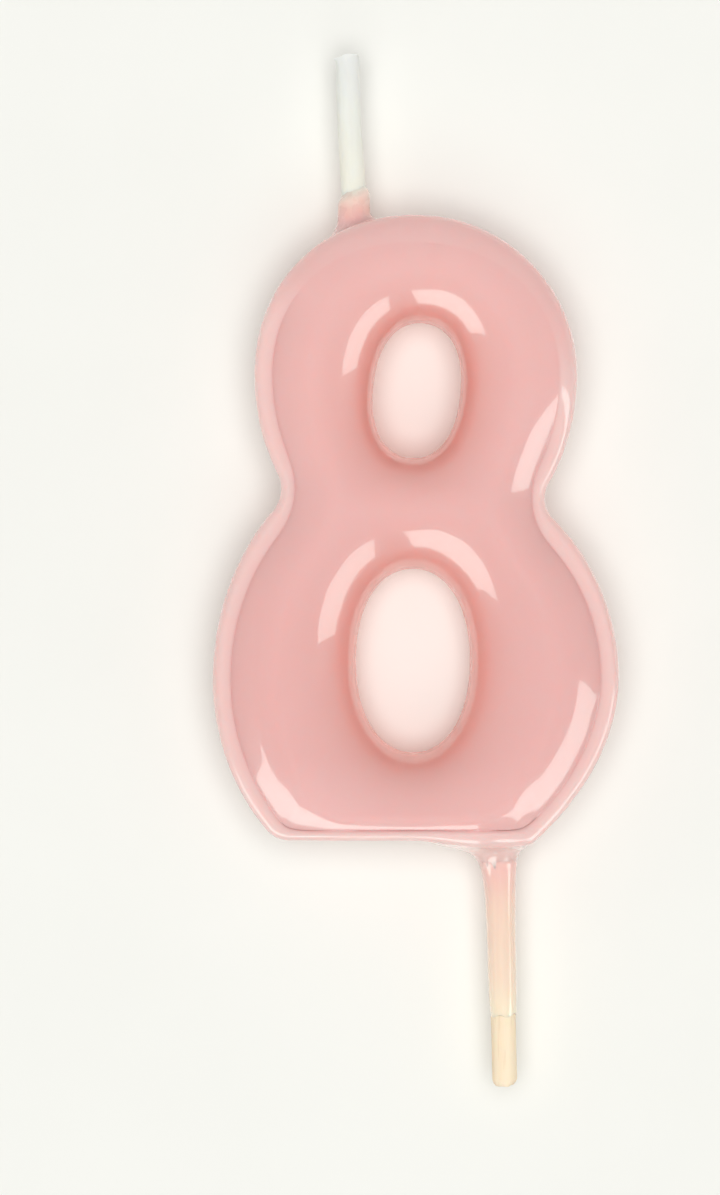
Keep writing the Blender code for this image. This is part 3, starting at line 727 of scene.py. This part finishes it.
def lip_depth(inset, lip, plain):
    """Thickness over the lip, from its rounded outer edge to the crease."""
    rounding = LIP_ROUND - np.clip(inset, 0, LIP_ROUND)
    creased = side_top + np.sqrt(LIP_ROUND**2 - rounding**2)
    creased = creased + LIP_BEAD * np.sin(math.pi * np.clip(inset / lip, 0, 1)) ** 1.5
    creased -= GROOVE_DEPTH * np.exp(-(((lip - inset) / GROOVE_WIDTH) ** 2))
    return creased * plain + crown_depth(inset) * (1 - plain)


def neck_profile(right):
    """The neck's drop and its fall-off, from the left (0) to the right (1) of the pick."""
    drop = NECK_DROP_LEFT + (NECK_DROP_RIGHT - NECK_DROP_LEFT) * right
    fall = NECK_FALL_LEFT + (NECK_FALL_RIGHT - NECK_FALL_LEFT) * right
    return drop, fall


def neck_drop(across, deep):
    """How far the drained wax hangs below the underside, at a distance from the pick's axis."""
    away = np.maximum(np.hypot(across, deep), NECK_INSIDE)
    right = (1 + across / away) / 2
    core = NECK_CORE_LEFT + (NECK_CORE_RIGHT - NECK_CORE_LEFT) * right
    drop, fall = neck_profile(right)
    gap = np.maximum(away - core, 0.0001)
    hang = drop * (gap / NECK_UNIT) ** -fall
    return np.minimum(hang, NECK_DEEPEST) * smooth_step((NECK_REACH - away) / NECK_FADE)


skin, faces = [], []


def add_row(flat, depth):
    """Lays a row of points on the skin, at their thickness from the back."""
    first = len(skin)
    depth = np.broadcast_to(depth, len(flat))
    skin.extend(np.column_stack([centre_x + flat[:, 0], back_y - depth, flat[:, 1]]))
    return np.arange(first, first + len(flat))


def add_strip(row, other):
    """Faces between two closed rows, looking outwards when other lies to the right."""
    after, other_after = np.roll(row, -1), np.roll(other, -1)
    faces.extend(np.stack([row, other, other_after, after], axis=-1).tolist())


def eased(count, ease=0.85):
    """Steps from 0 to 1 that are closer together at both ends."""
    t = np.linspace(0, 1, count)
    return t - ease * np.sin(math.tau * t) / math.tau


def bowl_borders(edge):
    """The border of each bowl: its part of the edge, then back along the web between bowls."""
    right, left = edge[0], edge[UPPER_COLUMNS]
    share = np.linspace(0, 1, WEB_COLUMNS + 2)[1:-1, None]
    web = left * (1 - share) + right * share
    upper = np.vstack([edge[: UPPER_COLUMNS + 1], web])
    lower = np.vstack([edge[UPPER_COLUMNS:], edge[:1], web[::-1]])
    return upper, lower


back_rim = edge_points + edge_inward * BACK_ROUND
borders = zip(HOLES, bowl_borders(crease_points), bowl_borders(back_rim))
for hole, border, back_border in borders:
    rim = hole_edge(hole, border, 0)
    front = []
    for step in eased(FRONT_ROWS):
        flat = rim * (1 - step) + border * step
        front.append(add_row(flat, face_depth(flat)))
    rim_depth = face_depth(rim)
    wall = []
    for step in np.linspace(1, 0, WALL_ROWS)[1:]:
        depth = HOLE_BACK_ROUND + (rim_depth - HOLE_BACK_ROUND) * step
        bulge = WALL_BULGE * math.sin(math.pi * step)
        wall.append(add_row(hole_edge(hole, border, -bulge), depth))
    for angle in np.radians((30, 60, 90)):
        out = HOLE_BACK_ROUND * (1 - math.cos(angle))
        depth = HOLE_BACK_ROUND * (1 - math.sin(angle))
        wall.append(add_row(hole_edge(hole, border, out), depth))
    inner_back = hole_edge(hole, border, HOLE_BACK_ROUND)
    back = [wall[-1]]
    for step in np.linspace(0, 1, BACK_ROWS)[1:]:
        flat = inner_back * (1 - step) + back_border * step
        from_edge = nearest_on(flat, back_rim)[0]
        from_hole = np.min(hole_distance(flat), axis=0)
        inside = np.minimum(from_edge, from_hole)
        ripple = [noise.noise(Vector((x * 260, 0.7, z * 260))) for x, z in flat]
        dip = BACK_SINK * (1 + 0.5 * np.array(ripple)) * smooth_step(inside / BACK_SINK_REACH)
        back.append(add_row(flat, dip))
    for inner, outer in zip(front, front[1:]):
        add_strip(inner, outer)
    for row, other in zip([front[0]] + wall, wall):
        add_strip(other, row)
    for inner, outer in zip(back, back[1:]):
        add_strip(outer, inner)

plain = crease_strength(crease_points, SHOULDER_LATER)
side_top = CREASE_DEPTH - LIP_ROUND + FOOT_LIFT * foot_share(edge_points)
rows = []
for step in eased(LIP_ROWS)[::-1]:
    flat = edge_points + lip_inward * (edge_lip * step)[:, None]
    rows.append(add_row(flat, lip_depth(edge_lip * step, edge_lip, plain)))
for step in np.linspace(1, 0, SIDE_ROWS)[1:]:
    depth = BACK_ROUND + (side_top - BACK_ROUND) * step
    draft = SIDE_DRAFT * (1 - step)
    rows.append(add_row(edge_points + edge_inward * draft, depth))
for angle in np.radians((15, 30, 45, 60, 75, 90)):
    inset = SIDE_DRAFT + (BACK_ROUND - SIDE_DRAFT) * (1 - math.cos(angle))
    depth = BACK_ROUND * (1 - math.sin(angle))
    rows.append(add_row(edge_points + edge_inward * inset, depth))
for inner, outer in zip(rows, rows[1:]):
    add_strip(inner, outer)

coat_mesh = bpy.data.meshes.new("overdip_coat")
coat_mesh.from_pydata([tuple(point) for point in skin], [], faces)
bm = bmesh.new()
bm.from_mesh(coat_mesh)
bmesh.ops.remove_doubles(bm, verts=bm.verts, dist=1e-6)
bmesh.ops.recalc_face_normals(bm, faces=bm.faces)
bm.to_mesh(coat_mesh)
bm.free()


def read_points(mesh, what):
    values = np.empty(len(mesh.vertices) * 3)
    mesh.vertices.foreach_get(what, values)
    return values.reshape(-1, 3)


spots = read_points(coat_mesh, "co")
facing = read_points(coat_mesh, "normal")
flat = np.column_stack([spots[:, 0] - centre_x, spots[:, 2]])

# The neck hangs from the underside.
inside_edge = nearest_on(flat, edge_points)[0]
at_side = smooth_step((UNDERSIDE_BAND - inside_edge) / UNDERSIDE_BAND)
hang = smooth_step((-facing[:, 2] - 0.05) / 0.6) * (spots[:, 2] < 0.003) * at_side
drop = neck_drop(spots[:, 0] - pick_axis(spots[:, 2]), spots[:, 1]) * hang
spots[:, 2] -= drop

# Slow waves from the draining wax, at right angles to the skin. They leave the edges true.
slow = np.array([noise.noise(Vector(spot) * 210) for spot in spots])
quick = np.array([noise.noise(Vector(spot) * 520) for spot in spots])
waves = slow + 0.5 * quick
on_face = smooth_step((-facing[:, 1] - 0.3) / 0.5)
height = waves * (WAVE_AT_EDGES + (1 - WAVE_AT_EDGES) * on_face) - WAVE_SUNK
spots += facing * (WAVE * height)[:, None]
coat_mesh.vertices.foreach_set("co", spots.ravel())
coat_mesh.update()

# Marks for the finish: how near a hole (painted shade there), on the lip (painted glow), in the
# crease (a painted shade line), inside a hole, how pale (painted light at the foot) and how far
# down the neck.
hole_near = np.min(hole_distance(flat), axis=0)
from_crease, place = nearest_on(flat, crease_points)
lip_here = read_round(edge_lip, place)
on_lip = smooth_step((lip_here + 0.0001 - inside_edge) / 0.0003)
plain_here = read_round(crease_strength(crease_points), place)
# Nearness to a hole, for painted shade and pink bounce light there, partly thicker wax.
lay_mark(coat_mesh, "deep", np.exp(-((hole_near / HOLE_SHADE_REACH) ** 1.3)))
# Where the lip is, for its painted glow of light through the thin wax.
lay_mark(coat_mesh, "lip", on_lip * (0.25 + 0.75 * plain_here))
# A painted shade line in the crease, where the lip meets the dome.
crease_shade = np.exp(-((from_crease / CREASE_SHADE_WIDTH) ** 2)) * plain_here * (1 - foot_share(flat))
lay_mark(coat_mesh, "crease", crease_shade * on_face)
in_bore = smooth_step((facing[:, 1] + 0.45) / 0.3) * (hole_near < 0.0008)
lay_mark(coat_mesh, "bore", in_bore)
pale_above = smooth_step((spots[:, 2] - PALE_FROM) / PALE_SPAN)
# Painted light: the coat under the lower hole is lightened where its roll tilts from the lamps.
painted_foot_light = FOOT_PAINTED_LIGHT * smooth_step((FOOT_LIGHT_TOP - spots[:, 2]) / FOOT_LIGHT_SPAN)
lay_mark(coat_mesh, "pale", pale_above + painted_foot_light)
lay_mark(coat_mesh, "neck", smooth_step((-spots[:, 2] - 0.0001) / 0.0019))

coat = Finish("pink_dip_wax")
mottle = coat.cloud(90, 1, (1, 1, 1), 0.25, 0.75)
fleck = coat.cloud(420, 2, (1, 1, 1), 0.2, 0.8)
# Paler upward, and paler at the foot as painted light.
tone = coat.blend(coat.mark("pale"), COAT_PINK, COAT_PALE)
tone = coat.blend(coat.times(mottle, 0.11), tone, COAT_MOTTLE_AND_HOLE_SHADE)
tone = coat.blend(coat.times(fleck, 0.03), tone, COAT_FLECK_AND_LIP_GLOW)
# Painted shade and pink bounce light by the holes, with the thicker wax there: a deeper, redder
# pink.
tone = coat.blend(coat.times(coat.mark("deep"), 0.85), tone, COAT_MOTTLE_AND_HOLE_SHADE)
# Painted light: the thin lip painted lighter, as light glowing through it.
tone = coat.blend(coat.times(coat.mark("lip"), 0.8), tone, COAT_FLECK_AND_LIP_GLOW)
# Painted shade: a darker line in the crease.
tone = coat.blend(coat.times(coat.mark("crease"), 0.14), tone, COAT_CREASE_SHADE)
tone = coat.blend(coat.mark("neck"), tone, COAT_NECK)
coat.wire(tone, coat.shader.inputs["Base Color"])
coat.wire(coat.spread(fleck, 0, 1, 0.24, 0.27), coat.shader.inputs["Roughness"])
coat.wire(coat.spread(coat.mark("bore"), 0, 1, 1.0, 0.2), coat.shader.inputs["Coat Weight"])
coat.relief(coat.cloud(1200, 2), 0.0000025)
coat.fixed(
    Subsurface_Weight=0.55,
    Subsurface_Radius=(1.0, 0.40, 0.33),
    Subsurface_Scale=0.0022,
    IOR=1.44,
    Coat_Roughness=0.04,
    Coat_IOR=1.6,
)
make_piece("dipped_coat", coat_mesh, coat.material, "overdip_coat")

# ---- Wick collar ------------------------------------------------------------------------
# The same dip wax, drawn up round the wick as the candle left the pot. It is thin and lets
# the white wick through at its slanted top.
collar_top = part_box("wick_collar")[1].z
COLLAR_SIDES = 72
COLLAR_ROWS = 70
COLLAR_TOP_SLANT = 0.00038
COLLAR_RAGGED = 0.00012
COLLAR_RADIUS = 0.00126
COLLAR_LUMPS = 0.00003
COLLAR_FLARE = 0.0011
COLLAR_FLARE_SHARE = 0.38
COLLAR_THIN_SHARE = 0.24
COLLAR_SUNK = 0.0004
COLLAR_ROSE = (0.812, 0.530, 0.468, 1)
COLLAR_CREAM = (0.828, 0.790, 0.685, 1)
# The crown's height and slope where the wick leaves it.
wick_out = WICK_SIDES[3] / UPPER_HALF_WIDTH
crown_there = UPPER_CENTRE + UPPER_RISE * math.sqrt(1 - wick_out**2)
crown_slope = -wick_out / math.sqrt(1 - wick_out**2)
collar = np.empty((COLLAR_ROWS, COLLAR_SIDES, 3))
for side, facing in enumerate(facings(COLLAR_SIDES)):
    ragged = COLLAR_RAGGED * noise.noise(facing * 1.8 + Vector((3, 1, 0)))
    top = collar_top - COLLAR_TOP_SLANT * (1 - facing.x) - abs(ragged)
    for row in range(COLLAR_ROWS):
        share = row / (COLLAR_ROWS - 1)
        flare = COLLAR_FLARE * (1 - min(share / COLLAR_FLARE_SHARE, 1)) ** 2
        base = crown_there - COLLAR_SUNK + crown_slope * (COLLAR_RADIUS + flare) * facing.x
        level = base + (top - base) * share
        core = wick_radius(level) * 0.975
        lump = COLLAR_LUMPS * unevenness(facing, level, 1, 700)
        thinned = smooth_step((share - 1 + COLLAR_THIN_SHARE) / COLLAR_THIN_SHARE)
        radius = core + (COLLAR_RADIUS + lump - core) * (1 - thinned) + flare
        collar[row, side] = (wick_side(level) + radius * facing.x, radius * facing.y, level)
collar_mesh = grid_mesh("wick_collar", collar)
height_share = (collar[..., 2] - crown_there) / (collar_top - crown_there)
lay_mark(collar_mesh, "climb", np.clip(height_share, 0, 1))

collar_wax = Finish("collar_wax")
drift = collar_wax.cloud(1100, 3)
shift = collar_wax.add("Math", operation="MULTIPLY_ADD")
collar_wax.wire(drift, shift.inputs[0])
shift.inputs[1].default_value = 0.12
collar_wax.wire(collar_wax.mark("climb"), shift.inputs[2])
foot = collar_wax.spread(shift.outputs["Value"], 0.10, 0.55)
fade = collar_wax.spread(shift.outputs["Value"], 0.42, 1.10)
tone = collar_wax.blend(foot, COAT_PALE, COLLAR_ROSE)
tone = collar_wax.blend(fade, tone, COLLAR_CREAM)
gloss = collar_wax.spread(drift, 0, 1, 0.22, 0.34)
collar_wax.wire(tone, collar_wax.shader.inputs["Base Color"])
collar_wax.wire(gloss, collar_wax.shader.inputs["Roughness"])
collar_wax.relief(collar_wax.cloud(1800, 2), 0.000006)
collar_wax.fixed(
    Subsurface_Weight=0.5,
    Subsurface_Radius=(1.0, 0.5, 0.42),
    Subsurface_Scale=0.0008,
    IOR=1.44,
    Coat_Weight=0.6,
    Coat_Roughness=0.08,
)
make_piece("wick_foot_collar", collar_mesh, collar_wax.material, "wick_collar")

# ---- Film of wax on the pick ------------------------------------------------------------
# Dip wax that ran on down the pick from the neck and set as it thinned. The birch shows
# through it more and more, and it stops at a wavy edge.
film_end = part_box("pick_wax_film")[0].z
FILM_SIDES = 72
FILM_ROWS = 170
FILM_START = -0.0012
FILM_SHOWS = 0.0016
FILM_TUCK = 0.00014
FILM_EDGE = 0.0006
FILM_THINS = 0.0012
FILM_RADIUS_LEFT, FILM_RADIUS_RIGHT = 0.00108, 0.00104
FILM_WAVER = 0.00003
FILM_RUNS = 0.00004
FILM_ROSE = (0.875, 0.640, 0.515, 1)
FILM_PEACH = (0.905, 0.740, 0.570, 1)
FILM_GRAIN = (0.90, 0.76, 0.58, 1)
FILM_PATCH = (0.87, 0.60, 0.50, 1)
# It begins inside the neck, tucked under its skin, and takes on the neck's own flare.
film = np.empty((FILM_ROWS, FILM_SIDES, 3))
inner = PICK_RADIUS * 0.99
for side, facing in enumerate(facings(FILM_SIDES)):
    end = film_end + FILM_EDGE * (0.5 + noise.noise(facing * 0.9 + Vector((7, 2, 0))))
    right = (1 + facing.x) / 2
    neck_size, neck_fall = neck_profile(right)
    outer = FILM_RADIUS_LEFT + (FILM_RADIUS_RIGHT - FILM_RADIUS_LEFT) * right
    for row in range(FILM_ROWS):
        level = FILM_START + (end - FILM_START) * (row / (FILM_ROWS - 1)) ** 1.3
        drop = max(-level, 0.0011)
        flare = NECK_UNIT * (neck_size / drop) ** (1 / neck_fall)
        tuck = FILM_TUCK * smooth_step((level + FILM_SHOWS + 0.0003) / 0.0006)
        in_neck = min(math.exp((FILM_SHOWS - drop) / 0.0015), 1)
        core = outer + (0.00002 - 0.00016 * right) * in_neck
        core += FILM_WAVER * unevenness(facing, level, 1.1, 330)
        core += FILM_RUNS * unevenness(facing, level, 2.2, 90, 5)
        thick = 1 - math.exp(-(level - end) / FILM_THINS)
        radius = inner + (core - inner) * thick + flare - tuck + 0.00003 * in_neck
        film[row, side] = (pick_axis(level) + radius * facing.x, radius * facing.y, level)
film_mesh = grid_mesh("pick_wax_film", film[::-1])
lay_mark(film_mesh, "run", np.clip(film[::-1, :, 2] / film_end, 0, 1))

film_wax = Finish("thin_film_wax")
grain = film_wax.cloud(2300, 4, (1, 1, 0.04))
drift = film_wax.cloud(420, 2, (1, 1, 0.5))
fade = film_wax.spread(film_wax.mark("run"), 0.10, 0.45)
pale = film_wax.spread(film_wax.mark("run"), 0.35, 1.0)
tone = film_wax.blend(pale, FILM_ROSE, FILM_PEACH)
tone = film_wax.blend(film_wax.times(grain, 0.25), tone, FILM_GRAIN)
tone = film_wax.blend(film_wax.times(drift, 0.22), tone, FILM_PATCH)
tone = film_wax.blend(fade, COAT_NECK, tone)
edge = film_wax.spread(film_wax.mark("run"), 0.78, 1.0)
tone = film_wax.blend(film_wax.times(edge, 0.8), tone, BIRCH_PALE)
film_wax.wire(tone, film_wax.shader.inputs["Base Color"])
film_wax.wire(film_wax.spread(drift, 0, 1, 0.16, 0.26), film_wax.shader.inputs["Roughness"])
film_wax.relief(grain, 0.000008)
film_wax.fixed(
    Subsurface_Weight=0.4,
    Subsurface_Radius=(1.0, 0.6, 0.45),
    Subsurface_Scale=0.0006,
    IOR=1.44,
    Coat_Weight=1.0,
    Coat_Roughness=0.05,
    Coat_IOR=1.6,
)
make_piece("pick_film", film_mesh, film_wax.material, "pick_wax_film")

# ---- What the candle lies on ------------------------------------------------------------
# A sheet of matt off-white card, against the candle's flat back. It isn't part of the
# candle, and from behind it lets the eye and the light through.
CARD_GAP = 0.0002
CARD_REACH = 3.0
CARD_WHITE = (0.835, 0.835, 0.795, 1)
CARD_CREAM = (0.845, 0.845, 0.805, 1)
card_mesh = bpy.data.meshes.new("card")
ways = ((-1, -1), (1, -1), (1, 1), (-1, 1))
corners = [(x * CARD_REACH, back_y + CARD_GAP, z * CARD_REACH) for x, z in ways]
card_mesh.from_pydata(corners, [], [(0, 1, 2, 3)])
card = bpy.data.objects.new("card", card_mesh)
bpy.context.scene.collection.objects.link(card)
card_finish = Finish("matt_card")
paper = card_finish.cloud(60, 3)
tone = card_finish.blend(paper, CARD_WHITE, CARD_CREAM)
card_finish.wire(tone, card_finish.shader.inputs["Base Color"])
card_finish.fixed(Roughness=0.9, Specular_IOR_Level=0.1)
clear = card_finish.add("BsdfTransparent")
mixer = card_finish.add("MixShader")
card_finish.wire(card_finish.add("NewGeometry").outputs["Backfacing"], mixer.inputs["Fac"])
card_finish.wire(card_finish.shader.outputs["BSDF"], mixer.inputs[1])
card_finish.wire(clear.outputs["BSDF"], mixer.inputs[2])
output = card_finish.tree.nodes["Material Output"]
card_finish.wire(mixer.outputs["Shader"], output.inputs["Surface"])
card_mesh.materials.append(card_finish.material)
card.visible_shadow = False

# ---- Light and camera -------------------------------------------------------------------
# Two long soft boxes low in front, to the lower right and the lower left, in a pale room. The
# camera looks straight at the face through a long lens, with the candle right of centre.
middle = (cad_low + cad_high) / 2
BOX_AWAY = 0.8
BOX_TILT = 67
BOX_TINT = (0.78, 1.0, 0.95)


def soft_box(name, bearing, width, height, glow):
    """A soft box aimed at the candle, for its reflections. Its bearing turns from right to up."""
    bearing, tilt = math.radians(bearing), math.radians(BOX_TILT)
    toward = Vector(
        (
            math.cos(bearing) * math.sin(tilt),
            -math.cos(tilt),
            math.sin(bearing) * math.sin(tilt),
        )
    )
    lamp = bpy.data.lights.new(name, "AREA")
    lamp.shape = "RECTANGLE"
    lamp.size, lamp.size_y = width, height
    lamp.energy = math.pi * width * height * glow
    lamp.color = BOX_TINT
    lamp_object = bpy.data.objects.new(name, lamp)
    bpy.context.scene.collection.objects.link(lamp_object)
    around = Vector((-math.sin(bearing), 0, math.cos(bearing)))
    turn = Matrix((around, toward.cross(around), toward)).transposed()
    lamp_object.matrix_world = Matrix.LocRotScale(middle + toward * BOX_AWAY, turn, None)
    lamp_object.visible_diffuse = False


def far_fill(name, direction, strength, spread):
    """Even light from far away, from a direction; it shows in no reflection."""
    lamp = bpy.data.lights.new(name, "SUN")
    lamp.energy = strength
    lamp.angle = math.radians(spread)
    lamp_object = bpy.data.objects.new(name, lamp)
    bpy.context.scene.collection.objects.link(lamp_object)
    lamp_object.rotation_euler = Vector(direction).to_track_quat("Z", "Y").to_euler()
    lamp_object.visible_glossy = False


soft_box("right_box", -32, 0.72, 0.42, 2.7)
soft_box("left_box", -121.5, 1.02, 0.47, 3.0)
far_fill("front_fill", (0, -1, -0.02), 1.85, 42)
far_fill("low_fill", (0.0, -1, -0.55), 0.6, 50)
far_fill("left_fill", (-1, -0.3, 0.2), 0.3, 60)
far_fill("right_fill", (1, -0.3, -0.2), 0.25, 60)
far_fill("back_fill", (0.4, 1, 0.5), 1.6, 50)

# The room is plain and pale to look at, gives a dim light and reflects a little brighter.
ROOM_TINT = (1.0, 1.0, 0.975, 1)
ROOM_LIGHT = 0.30
ROOM_SHINE = 0.25
BACKDROP_TINT = (1.0, 1.0, 0.965, 1)
BACKDROP_GLOW = 0.90
world = bpy.data.worlds.new("pale_room")
world.use_nodes = True
room = world.node_tree
light = room.nodes["Background"]
light.inputs["Color"].default_value = ROOM_TINT
backdrop = room.nodes.new("ShaderNodeBackground")
backdrop.inputs["Color"].default_value = BACKDROP_TINT
backdrop.inputs["Strength"].default_value = BACKDROP_GLOW
seen = room.nodes.new("ShaderNodeLightPath")
glow = room.nodes.new("ShaderNodeMath")
glow.operation = "MULTIPLY_ADD"
glow.inputs[1].default_value = ROOM_SHINE
glow.inputs[2].default_value = ROOM_LIGHT
either = room.nodes.new("ShaderNodeMixShader")
room.links.new(seen.outputs["Is Glossy Ray"], glow.inputs[0])
room.links.new(glow.outputs["Value"], light.inputs["Strength"])
room.links.new(seen.outputs["Is Camera Ray"], either.inputs["Fac"])
room.links.new(light.outputs["Background"], either.inputs[1])
room.links.new(backdrop.outputs["Background"], either.inputs[2])
room.links.new(either.outputs["Shader"], room.nodes["World Output"].inputs["Surface"])
bpy.context.scene.world = world
bpy.context.scene.view_settings.view_transform = "Standard"

FRAME_HEIGHT = 0.0924
CAMERA_AWAY = 0.75
CAMERA_LEFT = 0.00433
CAMERA_BELOW = 0.0021
SENSOR = 36
camera_data = bpy.data.cameras.new("camera")
camera = bpy.data.objects.new("camera", camera_data)
bpy.context.scene.collection.objects.link(camera)
camera_data.sensor_width = SENSOR
camera_data.lens = SENSOR * CAMERA_AWAY / FRAME_HEIGHT
camera_data.clip_start = 0.01
camera.location = (middle.x - CAMERA_LEFT, coat_low.y - CAMERA_AWAY, middle.z - CAMERA_BELOW)
camera.rotation_euler = (math.radians(90), 0, 0)
bpy.context.scene.camera = camera
